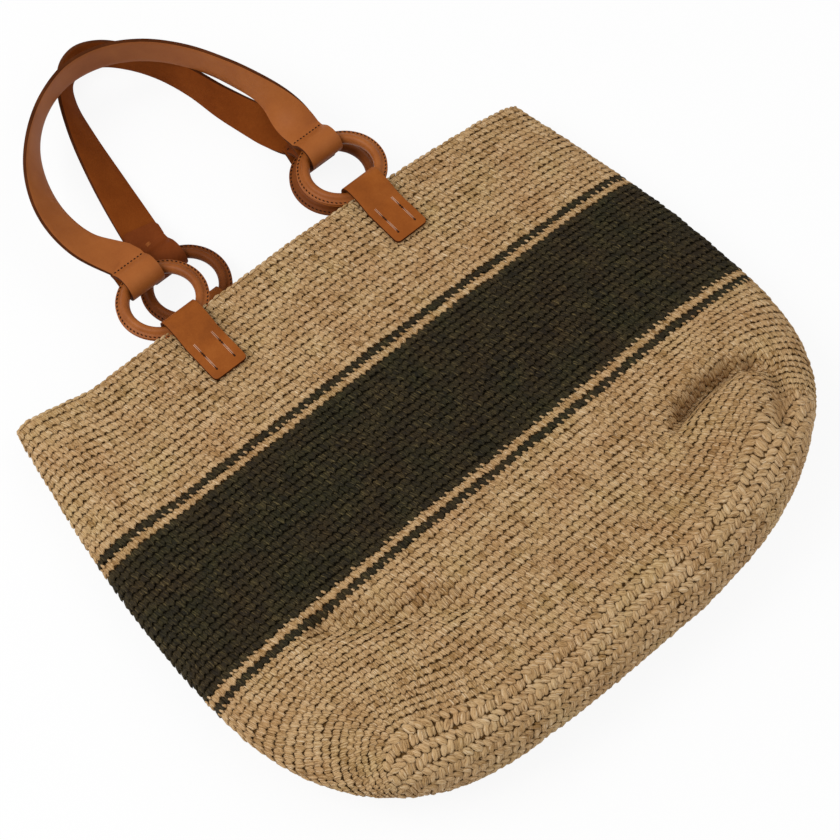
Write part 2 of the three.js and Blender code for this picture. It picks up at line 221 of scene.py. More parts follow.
def even_half(down, start):
    """One half of a round, as points at even distances along the fabric."""
    points = bag_round(down, start + np.linspace(0, math.pi, half_samples) + (1e-9 if start else 0))
    run = run_along(points)
    return sample(points, run, np.linspace(0, run[-1], half_columns + 1)), run[-1]


wall_map = []
runs = {"front": [], "rear": []}
for down in levels:
    front_half, front_run = even_half(down, 0.0)
    rear_half, rear_run = even_half(down, math.pi)
    share = np.clip(from_edge * front_run / edge_keep, 0, 1)
    front_half = settle(front_half, share * math.cos(base_turn(down)))
    wall_map.append(np.concatenate([front_half[:-1], rear_half[:-1]]))
    runs["front"].append(front_run)
    runs["rear"].append(rear_run)
wall_map = np.array(wall_map)
girth = np.array(runs["front"]) + np.array(runs["rear"])
around = np.roll(wall_map, -1, axis=1) - np.roll(wall_map, 1, axis=1)
wall_out = np.cross(around, np.gradient(wall_map, axis=0))
wall_out /= np.linalg.norm(wall_out, axis=2, keepdims=True) + 1e-12
wall_out[-2:] = wall_out[-3]
print("girth at the rim", round(girth[rim_level]), "mm, at the belly", round(girth.max()), "mm")


# %% Find a place on the wall
def on_wall(down, share, out):
    """Points at these distances down, shares of the round and distances outwards."""
    row = np.clip((down - levels[0]) / level_step, 0, len(levels) - 1.001)
    column = (share % 1.0) * 2 * half_columns
    r = row.astype(int)
    c = column.astype(int) % (2 * half_columns)
    c_next = (c + 1) % (2 * half_columns)
    fr = (row - r)[:, None]
    fc = (column - np.floor(column))[:, None]

    def mixed(field):
        top = field[r, c] * (1 - fc) + field[r, c_next] * fc
        low = field[r + 1, c] * (1 - fc) + field[r + 1, c_next] * fc
        return top * (1 - fr) + low * fr

    return mixed(wall_map) + mixed(wall_out) * out[:, None]


def share_at(face, across, down):
    """Shares of the round at these distances to the right of the middle, seen from outside."""
    middle = 0.25 if face == "front" else 0.75
    return middle - 0.5 * across / np.interp(down, levels, runs[face])


print("middle of the front, facing", wall_out[rim_level, half_columns // 2].round(2))

# %% [markdown]
# ## Working habits
# Operators act on whatever is selected, so each piece starts from an empty selection. Every finished
# piece sits at the origin with its place in its mesh, rides on a body of the frame and hides the solids
# of the CAD model that it stands for, where it has any.


# %% Helpers for pieces
def clear_selection():
    if bpy.context.mode != "OBJECT":
        bpy.ops.object.mode_set(mode="OBJECT")
    bpy.ops.object.select_all(action="DESELECT")


def only(obj):
    clear_selection()
    obj.select_set(True)
    bpy.context.view_layer.objects.active = obj


def start_piece(name, add, **settings):
    """A new object from one of Blender's own shapes."""
    clear_selection()
    add(**settings)
    obj = bpy.context.object
    obj.name = obj.data.name = name
    return obj


def points_of(obj):
    return np.array([v.co for v in obj.data.vertices])


def place_points(mesh, points):
    """Move all points of a mesh to places in millimetres."""
    mesh.vertices.foreach_set("co", (points * MM).astype(np.float32).ravel())


def apply_modifier(obj, kind, **settings):
    only(obj)
    modifier = obj.modifiers.new(kind.title(), kind)
    for name, value in settings.items():
        setattr(modifier, name, value)
    bpy.ops.object.modifier_apply(modifier=modifier.name)


def in_edit_mode(obj, *steps):
    """Run edit-mode steps, each on the whole mesh of a piece."""
    only(obj)
    bpy.ops.object.mode_set(mode="EDIT")
    for step in steps:
        bpy.ops.mesh.select_all(action="SELECT")
        step()
    bpy.ops.object.mode_set(mode="OBJECT")


def finish_piece(obj, body, nodes=()):
    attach(obj, body)
    if nodes:
        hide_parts(*nodes)
    print(f"{obj.name}: {len(obj.data.polygons)} faces on {body}")


# %% Meshes made of many copies
def mesh_of_copies(name, points, triangles, material, tone=None, strand=None):
    """A piece from points in millimetres and triangles, with tone and strand place as attributes."""
    mesh = bpy.data.meshes.new(name)
    mesh.vertices.add(len(points))
    place_points(mesh, points)
    mesh.loops.add(triangles.size)
    mesh.loops.foreach_set("vertex_index", triangles.astype(np.int32).ravel())
    mesh.polygons.add(len(triangles))
    mesh.polygons.foreach_set("loop_start", np.arange(0, triangles.size, 3, dtype=np.int32))
    mesh.polygons.foreach_set("use_smooth", np.ones(len(triangles), dtype=bool))
    mesh.update(calc_edges=True)
    if tone is not None:
        tones = mesh.attributes.new("tone", "FLOAT", "POINT").data
        tones.foreach_set("value", tone.astype(np.float32))
    if strand is not None:
        strands = mesh.attributes.new("strand", "FLOAT_VECTOR", "POINT").data
        strands.foreach_set("vector", strand.astype(np.float32).ravel())
    mesh.materials.append(material)
    obj = bpy.data.objects.new(name, mesh)
    bpy.context.scene.collection.objects.link(obj)
    return obj


# %% [markdown]
# ## Finishes
# Raffia is a dried palm leaf: pale straw with browner and greener strands, split into long fibres. Pale
# streaks along the fibres are painted highlights. Each stitch carries a tone of its own, and a noise that
# is stretched along the strand draws the fibres. Leather is a warm tan with a fine pore, darker on its
# cut edges and fuzzy on its flesh side. All of it is procedural, so it needs no image and no unwrapping.


# %% Shader helpers
def colour(red, green, blue):
    """A colour from its screen values, 0 to 255."""
    linear = []
    for value in (red, green, blue):
        c = value / 255
        linear.append(c / 12.92 if c <= 0.04045 else ((c + 0.055) / 1.055) ** 2.4)
    return (*linear, 1.0)


def new_material(name, roughness, specular):
    material = bpy.data.materials.new(name)
    material.use_nodes = True
    shader = material.node_tree.nodes["Principled BSDF"]
    shader.inputs["Roughness"].default_value = roughness
    shader.inputs["Specular IOR Level"].default_value = specular
    return material, material.node_tree, shader


def feed(tree, socket, value):
    """Link an output to a socket, or set the socket to a plain value."""
    if hasattr(value, "is_output"):
        tree.links.new(value, socket)
    else:
        socket.default_value = value


def add_node(tree, kind, **inputs):
    node = tree.nodes.new(kind)
    for name, value in inputs.items():
        feed(tree, node.inputs[name], value)
    return node


def add_attribute(tree, name):
    node = tree.nodes.new("ShaderNodeAttribute")
    node.attribute_name = name
    return node.outputs


def add_noise(tree, vector, scale, detail=3.0, rough=0.55):
    inputs = dict(Vector=vector, Scale=scale, Detail=detail, Roughness=rough)
    return add_node(tree, "ShaderNodeTexNoise", **inputs).outputs["Fac"]


def add_ramp(tree, value, stops):
    """A colour ramp through places and screen colours."""
    node = add_node(tree, "ShaderNodeValToRGB", Fac=value)
    ramp = node.color_ramp
    while len(ramp.elements) < len(stops):
        ramp.elements.new(0.5)
    for element, (place, shade) in zip(ramp.elements, stops):
        element.position = place
        element.color = colour(*shade)
    return node.outputs["Color"]


def add_mix(tree, factor, first, second, blend):
    node = tree.nodes.new("ShaderNodeMix")
    node.data_type = "RGBA"
    node.blend_type = blend
    for index, value in ((0, factor), (6, first), (7, second)):
        feed(tree, node.inputs[index], value)
    return node.outputs[2]


def add_bump(tree, shader, height, strength, distance):
    node = add_node(tree, "ShaderNodeBump", Strength=strength, Distance=distance, Height=height)
    tree.links.new(node.outputs["Normal"], shader.inputs["Normal"])


def add_math(tree, operation, *values):
    node = tree.nodes.new("ShaderNodeMath")
    node.operation = operation
    for socket, value in zip(node.inputs, values):
        feed(tree, socket, value)
    return node.outputs[0]


def object_place(tree):
    return tree.nodes.new("ShaderNodeTexCoord").outputs["Object"]


# %% Raffia
white, black = (255, 255, 255), (0, 0, 0)
tone_stops = (0.15, 0.4, 0.65, 0.9)
fibre_stretch = (13.0, 1.2, 1.0)
fibre_tone, streak_share, painted_highlight_share, patch_scale = 0.75, 0.85, 0.5, 34.0


def raffia(name, tones, patch_tones, patch_share, fleck, painted_highlight, roughness):
    """Raffia whose stitches run through the tones, with larger patches, dark flecks and painted
    highlights.
    """
    material, tree, shader = new_material(name, roughness, 0.2)
    strand = add_attribute(tree, "strand")["Vector"]
    stretch = add_node(tree, "ShaderNodeMapping", Vector=strand, Scale=fibre_stretch)
    fibre = add_noise(tree, stretch.outputs["Vector"], 1.0, 4.0, 0.65)
    patch = add_noise(tree, object_place(tree), patch_scale, 2.0)
    tone = add_attribute(tree, "tone")["Fac"]
    shifted = add_math(tree, "MULTIPLY_ADD", fibre, fibre_tone, tone)
    base = add_ramp(tree, shifted, list(zip(tone_stops, tones)))
    body = add_mix(tree, patch_share, base, add_ramp(tree, patch, patch_tones), "MULTIPLY")
    streak = add_ramp(tree, fibre, [(0.34, fleck), (0.46, white)])
    streaked = add_mix(tree, streak_share, body, streak, "MULTIPLY")
    # Painted highlight: the brightest fibres are lightened with a pale colour.
    highlight_ramp = add_ramp(tree, fibre, [(0.56, black), (0.72, painted_highlight)])
    highlighted = add_mix(tree, painted_highlight_share, streaked, highlight_ramp, "SCREEN")
    feed(tree, shader.inputs["Base Color"], highlighted)
    add_bump(tree, shader, fibre, 0.7, 0.0007)
    return material


yarns = {
    "natural_raffia": raffia(
        "natural_raffia",
        [(154, 118, 69), (192, 158, 113), (207, 177, 136), (228, 208, 179)],
        [(0.3, (238, 224, 208)), (0.55, (252, 249, 242)), (0.75, (244, 245, 226))],
        patch_share=0.75,
        fleck=(130, 94, 48),
        painted_highlight=(237, 226, 204),
        roughness=0.66,
    ),
    "olive_raffia": raffia(
        "olive_raffia",
        [(29, 22, 8), (45, 37, 17), (63, 53, 28), (118, 102, 70)],
        [(0.35, (255, 232, 208)), (0.5, (255, 250, 240)), (0.68, (222, 240, 205))],
        patch_share=0.85,
        fleck=(104, 94, 76),
        painted_highlight=(146, 126, 80),
        roughness=0.7,
    ),
}
print("raffia finishes:", *yarns)


# %% Painted shade for the inside of the fabric
def painted_shade_material(name, deep, light):
    """A dark colour for the yarn deep between the stitches: painted shade where little light reaches."""
    material, tree, shader = new_material(name, 0.9, 0.1)
    grain = add_noise(tree, object_place(tree), 420.0, 3.0)
    feed(tree, shader.inputs["Base Color"], add_ramp(tree, grain, [(0.35, deep), (0.7, light)]))
    add_bump(tree, shader, grain, 0.6, 0.0008)
    return material


# Painted shade: these colours are much darker than the yarn and stand for the shade deep in the fabric.
painted_shade_materials = {
    "natural_raffia": painted_shade_material("natural_raffia_painted_shade", (64, 42, 17), (104, 74, 36)),
    "olive_raffia": painted_shade_material("olive_raffia_painted_shade", (17, 13, 5), (29, 23, 11)),
}
print("depth finishes for:", *painted_shade_materials)


# %% Leather and thread
cloud_scale, fine_share, fine_tone, pore_share = 38.0, 0.55, 0.35, 0.6


def leather(name, deep, middle, light, roughness, pore_scale, pore_strength, shine):
    material, tree, shader = new_material(name, roughness, shine)
    place = object_place(tree)
    cloud = add_noise(tree, place, cloud_scale, 4.0, 0.6)
    fine = add_noise(tree, place, pore_scale * fine_share, 4.0, 0.7)
    mixed = add_math(tree, "MULTIPLY_ADD", fine, fine_tone, cloud)
    base = add_ramp(tree, mixed, [(0.38, deep), (0.66, middle), (0.95, light)])
    feed(tree, shader.inputs["Base Color"], base)
    pore = add_node(tree, "ShaderNodeTexVoronoi", Vector=place, Scale=pore_scale)
    height = add_math(tree, "MULTIPLY_ADD", pore.outputs["Distance"], pore_share, fine)
    add_bump(tree, shader, height, pore_strength, 0.0004)
    return material


leathers = {}
for name, *settings in (
    ("tan_leather", (122, 62, 16), (140, 74, 22), (156, 88, 32), 0.6, 1300.0, 0.16, 0.12),
    ("ring_leather", (124, 64, 20), (146, 80, 30), (164, 96, 42), 0.46, 1500.0, 0.12, 0.2),
    ("strap_grain", (142, 78, 34), (153, 87, 39), (163, 96, 45), 0.55, 1300.0, 0.14, 0.12),
    ("strap_flesh", (104, 48, 12), (116, 56, 16), (128, 65, 21), 0.85, 900.0, 0.5, 0.05),
    # A darker copy of ring_leather for the rear rings: painted shade.
    ("ring_leather_painted_shade", (96, 46, 13), (114, 58, 20), (132, 72, 29), 0.5, 1500.0, 0.12, 0.1),
    # The grain side of the rear strap: strap_grain's own colour made darker as painted shade.
    ("rear_grain_painted_shade", (91, 41, 12), (107, 50, 17), (122, 60, 24), 0.62, 1300.0, 0.14, 0.06),
    ("cut_edge", (58, 28, 12), (76, 38, 17), (94, 50, 24), 0.75, 1100.0, 0.3, 0.02),
    # Dark thread for the seams; the same colour laid flat is the painted shade in the tab's slots and
    # holes.
    ("dark_thread_and_painted_shade", (30, 14, 7), (44, 21, 10), (60, 30, 15), 0.7, 2600.0, 0.4, 0.12),
    ("pale_thread", (164, 112, 82), (194, 142, 112), (214, 168, 140), 0.6, 2600.0, 0.4, 0.12),
):
    leathers[name] = leather(name, *settings)
print("leather and thread finishes:", *leathers)

# %% [markdown]
# ## One stitch
# A single crochet stitch shows two legs that meet at the bottom, one long and one short, so that the rows
# look like leaning teeth. Raffia splits as it is worked, so each leg is two strands. They are modelled
# once from small spheres that are pulled long, tapered and leaned, and later copied thousands of times,
# so a stitch keeps to 80 faces.

# %% Shape one strand
strand_step = 3.7


def strand_piece(top, foot, width, height, sides, foot_taper, top_taper, rings=4):
    """A strand from top to foot: its points across, down and outwards, triangles and strand places."""
    sphere = dict(segments=sides, ring_count=rings, radius=0.5)
    obj = start_piece("strand", bpy.ops.mesh.primitive_uv_sphere_add, **sphere)
    in_edit_mode(obj, bpy.ops.mesh.quads_convert_to_tris)
    points = points_of(obj)
    triangles = np.array([p.vertices for p in obj.data.polygons])
    bpy.data.objects.remove(obj)
    along = 0.5 - points[:, 2]
    taper = np.where(along > 0.5, foot_taper, top_taper)
    thin = 1 + (taper - 1) * np.abs(along - 0.5) * 2
    top, foot = np.array(top), np.array(foot)
    heading = unit((foot - top)[:2])
    sideways = np.array([heading[1], -heading[0], 0.0])
    shaped = top + (foot - top) * along[:, None] + np.outer(points[:, 0] * width * thin, sideways)
    shaped[:, 2] += points[:, 1] * height * thin
    angle = np.arctan2(points[:, 1], points[:, 0])
    return shaped, triangles, np.stack([angle / (2 * math.pi), along, np.zeros_like(along)], axis=1)


def joined(*pieces):
    """One shape from strands, each with its own number in the strand places."""
    points, triangles, strands, offset = [], [], [], 0
    for index, (p, t, s) in enumerate(pieces):
        points.append(p)
        triangles.append(t + offset)
        strands.append(s + [0, 0, index * strand_step])
        offset += len(p)
    return np.concatenate(points), np.concatenate(triangles), np.concatenate(strands)


def copied_faces(points, triangles):
    """The triangles of every copy of one closed shape, turned so that they face outwards."""
    each = triangles.max() + 1
    first = points[:each] - points[:each].mean(axis=0)
    a, b, c = (first[triangles[:, k]] for k in range(3))
    if np.einsum("ij,ij->i", a, np.cross(b, c)).sum() < 0:
        triangles = triangles[:, ::-1]
    return (triangles[None] + np.arange(0, len(points), each)[:, None, None]).reshape(-1, 3)


# %% The stitch
stitch = joined(
    strand_piece((-2.5, -0.8, -1.6), (-0.5, 5.6, -0.35), 3.3, 2.0, 5, 0.8, 0.7, 3),
    strand_piece((-0.8, -0.9, -1.4), (1.3, 7.3, 0.1), 3.0, 2.3, 5, 0.7, 0.85, 3),
    strand_piece((0.8, -0.9, -1.5), (1.9, 6.7, -0.3), 2.7, 1.9, 5, 0.85, 0.85, 3),
    strand_piece((2.0, -0.7, -1.5), (2.7, 5.7, -0.4), 3.0, 2.0, 5, 0.8, 0.75, 3),
)
print("one stitch:", len(stitch[1]), "triangles")

# %% [markdown]
# ## The way the rows run
# The walls are worked round a long base, which is a strip of rows worked to and fro along the bottom.
# Each row of the lower wall lies between the straight row under the stripes and the outline of the base,
# so the rows fan out at the corners and turn down round the base's ends. Rows are drawn on the flattened
# wall: across from the middle, and down.

# %% Guide lines on the flattened wall
upper_rows, base_rows = round_count - yarn_rows[-1][2], 10
wall_rows = round_count - base_rows
lower_start = upper_rows * round_height
lower_height = (wall_rows - upper_rows) * round_height
base_outline = [(-206, 382), (-176, 314), (-105, 332), (0, 335), (87, 333), (168, 309), (228, 378)]
base_outline = np.array(base_outline, float)
straight_row = np.array([(x, 0) for x in (-268, -204, -110, 0, 85, 192, 268)], float)
row_samples, base_samples, curve_steps, row_overhang = 481, 1201, 40, 9
edge_reach, height_limits = 0.6, (0.75, 1.7)
left_widening, right_widening = 1.2, 1.45


def between(at, start, end, first, second):
    return ((end - at) * first + (at - start) * second) / (end - start)


def curve_through(points, samples):
    """A smooth curve through points, with even steps: the centripetal kind that never overshoots."""
    points = np.array(points, float)
    padded = np.concatenate([[2 * points[0] - points[1]], points, [2 * points[-1] - points[-2]]])
    gaps = np.linalg.norm(np.diff(padded[:, :3], axis=0), axis=1) ** 0.5
    knots = np.concatenate([[0], np.cumsum(gaps)])
    line = []
    for i in range(len(padded) - 3):
        p, t = padded[i : i + 4], knots[i : i + 4]
        for at in np.linspace(t[1], t[2], curve_steps, endpoint=False):
            a = [between(at, t[k], t[k + 1], p[k], p[k + 1]) for k in range(3)]
            b = [between(at, t[k], t[k + 2], a[k], a[k + 1]) for k in range(2)]
            line.append(between(at, t[1], t[2], *b))
    line = np.array(line + [points[-1]])
    run = run_along(line[:, :3])
    return sample(line, run, np.linspace(0, run[-1], samples))


def row_line(number, base):
    """The line of a row on the flattened wall, from left to right."""
    level = number * round_height
    if level <= lower_start:
        return curve_through(straight_row + [0, level], row_samples)
    if not base:
        share = (level - lower_start) / lower_height
        top = straight_row + [0, lower_start]
        return curve_through(top * (1 - share) + base_outline * share, row_samples)
    share = (number - wall_rows) / base_rows
    edge = curve_through(base_outline, base_samples)
    first, last = (np.linalg.norm(edge - base_outline[k], axis=1).argmin() for k in (1, -2))
    edge = edge[first : last + 1]
    bottom_x = edge[:, 0] * np.where(edge[:, 0] > 0, right_widening, left_widening)
    bottom = np.stack([bottom_x, np.full(len(edge), panel_length)], axis=1)
    line = edge * (1 - share) + bottom * share
    start = line[0] + row_overhang * unit(line[0] - line[7])
    end = line[-1] + row_overhang * unit(line[-1] - line[-8])
    return np.concatenate([[start], line, [end]])


def row_of(number, face, pitch, phase):
    """Places, headings and heights of the stitches of one row, from left to right seen from outside."""
    base = number >= wall_rows
    line = row_line(number + 0.5, base)
    spacing = row_line(number + 1.0, base) - row_line(number + 0.0, base)
    run = run_along(line)
    step = np.arange(phase * pitch, run[-1], pitch)
    places = sample(line, run, step)
    heading = unit(np.gradient(line, axis=0))
    headings = unit(sample(heading, run, step))
    across = np.abs(spacing[:, 1] * heading[:, 0] - spacing[:, 0] * heading[:, 1])
    heights = np.interp(step, run, across) / round_height
    reach = np.interp(places[:, 1], levels, runs[face]) / 2 + edge_reach * pitch
    inside = (np.abs(places[:, 0]) <= reach) & (places[:, 1] < panel_length)
    return places[inside], headings[inside], np.clip(heights[inside], *height_limits)


print("rows of the wall:", wall_rows, "and of half the base:", base_rows)

# %% [markdown]
# ## Rows of stitches
# Each row holds a stitch at every step, and starts a little further along than the one above, so that the
# columns lean as hand crochet does. Every copy is nudged, turned and toned a little by a seeded random
# draw. The copies are set by arithmetic and not by a modifier, because each one follows the bend of the
# wall.

# %% Set stitches along a row
stitch_middle, row_lean = 3.0, 0.17
spreads = dict(turn=0.06, size=0.05, plump=0.09, shift=0.16, lift=0.1, loose=0.19)
row_tone, stitch_tone, strand_tone = 0.02, 0.05, 0.045
strand_places = 400
waves = [(0.35, 17, 0.7), (0.25, 7.3, 1.0)]


def set_stitches(shape, row, face, draw, spread, out, inside=False):
    """Points, tones and strands of one shape copied to every place of a row."""
    points, _, strand = shape
    places, headings, heights = row
    n = len(places)
    turn = draw.normal(0, spreads["turn"] * spread, n)
    size = draw.normal(1, spreads["size"] * spread, n)
    plump = draw.normal(1, spreads["plump"] * spread, n)
    shift = draw.normal(0, spreads["shift"] * spread, (n, 2))
    lift = draw.normal(0, spreads["lift"] * spread, n)
    part = np.round(strand[:, 2] / strand_step).astype(int)
    parts = part.max() + 1
    loose = draw.normal(0, spreads["loose"] * spread, (3, n, parts))[:, :, part]
    tone = draw.normal(draw.normal(0, row_tone), stitch_tone, (n, 1))
    tone = tone + draw.normal(0, strand_tone, (n, parts))[:, part]
    across = points[None, :, 0] * size[:, None] + loose[0]
    down = (points[None, :, 1] - stitch_middle) * (size * heights)[:, None] + loose[1]
    cos, sin = np.cos(turn)[:, None], np.sin(turn)[:, None]
    turned_across = across * cos - down * sin + shift[:, :1]
    turned_down = across * sin + down * cos + shift[:, 1:]
    flat_across = places[:, :1] + headings[:, :1] * turned_across - headings[:, 1:] * turned_down
    flat_down = places[:, 1:] + headings[:, 1:] * turned_across + headings[:, :1] * turned_down
    out_by = points[None, :, 2] * plump[:, None] + lift[:, None] + 0.5 * loose[2] + out
    if inside:
        flat_across = 2 * places[:, :1] - flat_across
        out_by = -wall - out_by
    share = share_at(face, flat_across.ravel(), flat_down.ravel())
    strands = np.tile(strand, (n, 1))
    strands[:, 2] += np.repeat(draw.uniform(0, strand_places, n), len(points))
    return on_wall(flat_down.ravel(), share, out_by.ravel()), tone.ravel(), strands


def leaning_row(number, face):
    return row_of(number, face, stitch_width, -row_lean * number % 1.0)


def stitch_rows(first, last, face, seed, out, inside=False):
    """The stitches of the rows from first up to last on one face."""
    draw = np.random.default_rng(seed)
    made = []
    for number in range(first, last):
        places, headings, heights = leaning_row(number, face)
        wave = sum(high * np.sin(places[:, 0] / long + number * turn) for high, long, turn in waves)
        places = places + np.stack([-headings[:, 1], headings[:, 0]], axis=1) * wave[:, None]
        made.append(set_stitches(stitch, (places, headings, heights), face, draw, 1.0, out, inside))
    return made


def crochet_piece(name, rows, shape, yarn, nodes=(), paler=0.0):
    """One piece of the bag from rows of copies of a shape."""
    points, tones, strands = (np.concatenate(parts) for parts in zip(*rows))
    faces = copied_faces(points, shape[1])
    piece = mesh_of_copies(name, points, faces, yarns[yarn], tones + paler, strands)
    finish_piece(piece, "bag", nodes)


# %% Crochet the walls
face_out = {"front": 0.0, "rear": -0.9}
started = 0
rows_after_olive = []
for seed, (node, yarn, count) in enumerate(yarn_rows):
    ended = started + count
    for face, out in face_out.items():
        rows = stitch_rows(started, min(ended, wall_rows), face, 10 * seed + len(face), out)
        crochet_piece(f"{node}_{face}_stitches", rows, stitch, yarn, [node])
    if yarn == "olive_raffia":
        rows_after_olive.append(ended)
    started = ended

# %% [markdown]
# ## Where the colour changes
# The first pale stitch after an olive row is drawn up through it, so pale tips stand over the olive edge
# like small teeth. They are one short strand each, set on most stitches of those rows and not on all,
# because hand work skips some.

# %% Tips that stand over the stripes
tip = strand_piece((-3.0, -1.6, -0.2), (-1.2, 1.8, -0.1), 2.3, 2.0, 5, 1.0, 0.65, 3)
tip_share, tip_spread = 0.85, 1.5
for face, out in face_out.items():
    draw = np.random.default_rng(440 + len(face))
    rows = []
    for number in rows_after_olive:
        row = leaning_row(number, face)
        kept = draw.uniform(size=len(row[0])) < tip_share
        rows.append(set_stitches(tip, [part[kept] for part in row], face, draw, tip_spread, out))
    crochet_piece(f"stripe_tips_{face}", rows, tip, "natural_raffia")

# %% [markdown]
# ## The base
# The base is worked to and fro, so its rows lean one way and then the other. Two wider shapes take turns,
# row by row. They are wider and looser than the wall's stitches, as the photograph shows them.

# %% Work the base to and fro
leaf_legs = joined(
    strand_piece((-3.2, 0.8, -0.9), (2.8, 5.3, -0.5), 4.7, 2.2, 7, 0.9, 0.8),
    strand_piece((-0.4, -0.9, -1.3), (4.6, 3.2, -1.0), 3.8, 1.9, 5, 0.9, 0.9, 3),
)
upright_legs = joined(
    strand_piece((1.5, -0.7, -0.9), (-1.7, 6.4, -0.5), 4.9, 2.2, 7, 0.8, 1.0),
    strand_piece((4.3, -0.4, -1.3), (1.3, 6.1, -1.0), 3.8, 1.9, 5, 0.8, 1.0, 3),
)
legs = [leaf_legs, upright_legs]
for leg in legs:
    leg[2][:, 0] *= 2.0
base_pitch, base_shift, base_nudge, base_spread, base_paler = 5.7, 0.4, 0.25, 1.2, 0.06
for face, out in face_out.items():
    draw = np.random.default_rng(500 + len(face))
    rows = []
    for number in range(wall_rows, round_count):
        places, headings, heights = row_of(number, face, base_pitch, draw.uniform(0, 1))
        places[:, 1] += base_shift if number % 2 == wall_rows % 2 else -base_shift
        places = places + draw.normal(0, base_nudge, places.shape)
        row = (places, headings, heights)
        rows.append(set_stitches(legs[number % 2], row, face, draw, base_spread, out))
    node = yarn_rows[-1][0]
    crochet_piece(f"base_{face}_stitches", rows, leaf_legs, "natural_raffia", [node], base_paler)

# %% [markdown]
# ## Behind the stitches
# Between the stitches one looks into the thickness of the fabric, which lies in shade. A plain sheet just
# under the stitches, coloured dark as painted shade, gives that depth, closes the bag and makes its
# inside wall, which carries the same painted shade. It starts as a grid that is laid on the wall.

# %% A sheet laid on the wall
sheet_columns, sheet_step = 240, 3.7


def wall_sheet(name, first, last, out, material, flip):
    sheet_rows = max(2, int(round((last - first) / sheet_step)))
    grid = dict(x_subdivisions=sheet_columns, y_subdivisions=sheet_rows, size=2)
    obj = start_piece(name, bpy.ops.mesh.primitive_grid_add, **grid)
    flat = points_of(obj)
    share = (flat[:, 0] + 1) / 2
    share = np.where(share > 0.999999, 0.0, share)
    down = first + (1 - flat[:, 1]) / 2 * (last - first)
    place_points(obj.data, on_wall(down, share, np.full(len(flat), out)))
    steps = [lambda: bpy.ops.mesh.remove_doubles(threshold=0.00002)]
    if flip:
        steps.append(bpy.ops.mesh.flip_normals)
    in_edit_mode(obj, *steps)
    bpy.ops.object.shade_smooth()
    obj.data.materials.append(material)
    return obj


# %% Lay the sheets of painted shade
depth_start, depth_overlap, depth_out, lining_out = 3.0, 0.4, -1.5, -3.2
started = 0.0
for node, yarn, count in yarn_rows:
    ended = started + count * round_height
    top, bottom = max(started, depth_start), ended + depth_overlap
    outer = wall_sheet(f"{node}_depth", top, bottom, depth_out, painted_shade_materials[yarn], True)
    finish_piece(outer, "bag")
    started = ended
# The inside wall takes the same dark colour: painted shade.
lining = wall_sheet("inside_wall_painted_shade", 0.0, panel_length, lining_out, painted_shade_materials["natural_raffia"], False)
finish_piece(lining, "bag")

# %% Crochet the inside near the mouth
inside_rounds, inside_out, inside_paler = 14, -0.7, -0.06
for face in face_out:
    rows = stitch_rows(0, inside_rounds, face, 300 + len(face), inside_out, inside=True)
    crochet_piece(f"inside_{face}_stitches", rows, stitch, "natural_raffia", paler=inside_paler)

# %% [markdown]
# ## The rim
# The last round ends in a chain of loops that lies along the top of the wall like a thin plait. It takes
# two rows of leaning strands, one towards the outside and one towards the inside, copied all the way
# round the mouth.

# %% Plait the rim
loops = joined(
    strand_piece((-3.3, -0.6, -1.1), (3.0, 0.5, -0.3), 2.7, 2.3, 6, 0.85, 0.85),
    strand_piece((-3.0, -0.5, -3.2), (3.3, 0.6, -2.4), 2.7, 2.3, 6, 0.85, 0.85),
)
loop_points, _, loop_strand = loops
rim_shift, rim_paler = -0.5, 0.03
down_spread, out_spread, tone_spread = 0.25, 0.15, 0.1
draw = np.random.default_rng(71)
rim_girth = girth[rim_level]
rim_count = int(round(rim_girth / stitch_width))
rim_middle = (np.arange(rim_count) + 0.5) / rim_count
rim_share = (rim_middle[:, None] + loop_points[None, :, 0] / rim_girth).ravel()
rim_down = (loop_points[None, :, 1] + draw.normal(rim_shift, down_spread, (rim_count, 1))).ravel()
rim_out = (loop_points[None, :, 2] + draw.normal(0, out_spread, (rim_count, 1))).ravel()
rim_tone = np.repeat(draw.normal(rim_paler, tone_spread, rim_count), len(loop_points))
rim_strand = np.tile(loop_strand, (rim_count, 1))
rim_strand[:, 2] += np.repeat(draw.uniform(0, strand_places, rim_count), len(loop_points))
rim_row = (on_wall(rim_down, rim_share, rim_out), rim_tone, rim_strand)
crochet_piece("rim_plait", [rim_row], loops, "natural_raffia")

# %% [markdown]
# ## Where the handles sit
# Each handle has two rings. A ring turns in the loop of its tab at the rim, and the strap's loop turns at
# the far side of the ring. The places below follow from the rim, as they do in the CAD source. A tab
# slopes with the wall that it hugs.

# %% Places of the handles in millimetres
strap_half, tab_thick, strap_thick = 13.75, 2.3, 2.8
tab_length, tab_corner, seat_gap = 51.0, 3.5, 0.5
ring_radius, ring_hole, ring_flange, ring_height = 32.5, 45.4, 3.0, 8.6
axis_radius = (ring_radius + math.sqrt((ring_hole / 2) ** 2 - strap_half**2)) / 2
loop_inner = ring_radius - axis_radius + 0.3
handles = {
    "front": dict(face=1, x=(-80.0, 81.0), axis=(67.782, 36.051), tilt=math.radians(-4.644)),
    "rear": dict(face=-1, x=(-54.3, 81.7), axis=(78.082, 10.633), tilt=math.radians(0.211)),
}
four_rings = []
for name, h in handles.items():
    four_rings += [(f"{name}_left", h, 0), (f"{name}_right", h, 1)]
foot_lift = np.interp(tab_length, *rear_lift) - rear_lift[1][0]
foot_loft = np.interp(tab_length, [0, flat_run], [mouth_loft, base_loft]) - mouth_loft
